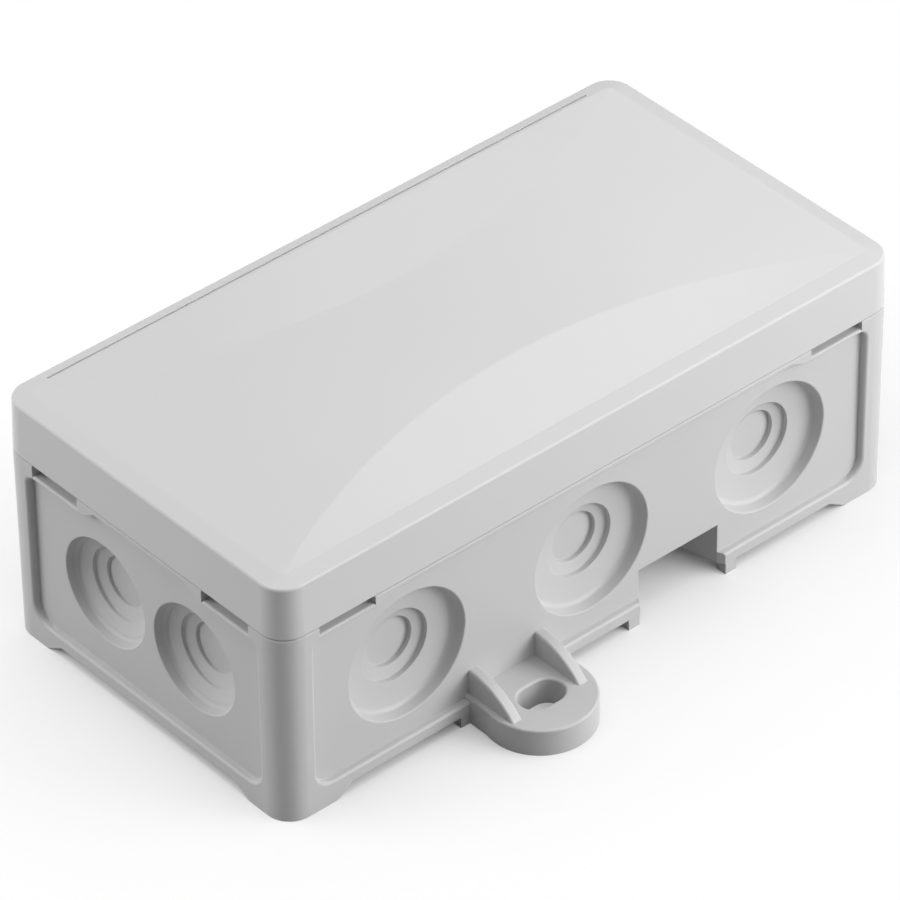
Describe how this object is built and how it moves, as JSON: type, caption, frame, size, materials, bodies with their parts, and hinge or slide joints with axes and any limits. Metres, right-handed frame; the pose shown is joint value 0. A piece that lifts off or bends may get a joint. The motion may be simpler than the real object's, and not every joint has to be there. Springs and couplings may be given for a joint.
{
  "type": "surface mount junction box",
  "caption": "rectangular surface-mount junction box with stepped cable entries in its recessed walls, slotted screw lugs and a shallow clip-on lid",
  "frame": {"origin": "centre of the footprint on the plane of the feet", "axes": "+X along the long walls, +Y across the case towards the wall with the fine lid line, +Z out of the mounting surface through the lid"},
  "size_m": [0.155, 0.1182, 0.0568],
  "materials": {
    "base_plastic": "light grey moulded polypropylene, fine satin",
    "lid_plastic": "light grey moulded polypropylene, smooth satin"
  },
  "bodies": {
    "base": {"base": "base_plastic"},
    "lid": {"lid": "lid_plastic"}
  },
  "joints": [
    {"name": "lid_lift", "type": "slide", "parent": "base", "child": "lid", "axis": [0, 0, 1], "range_m": [0, 0.06]}
  ]
}
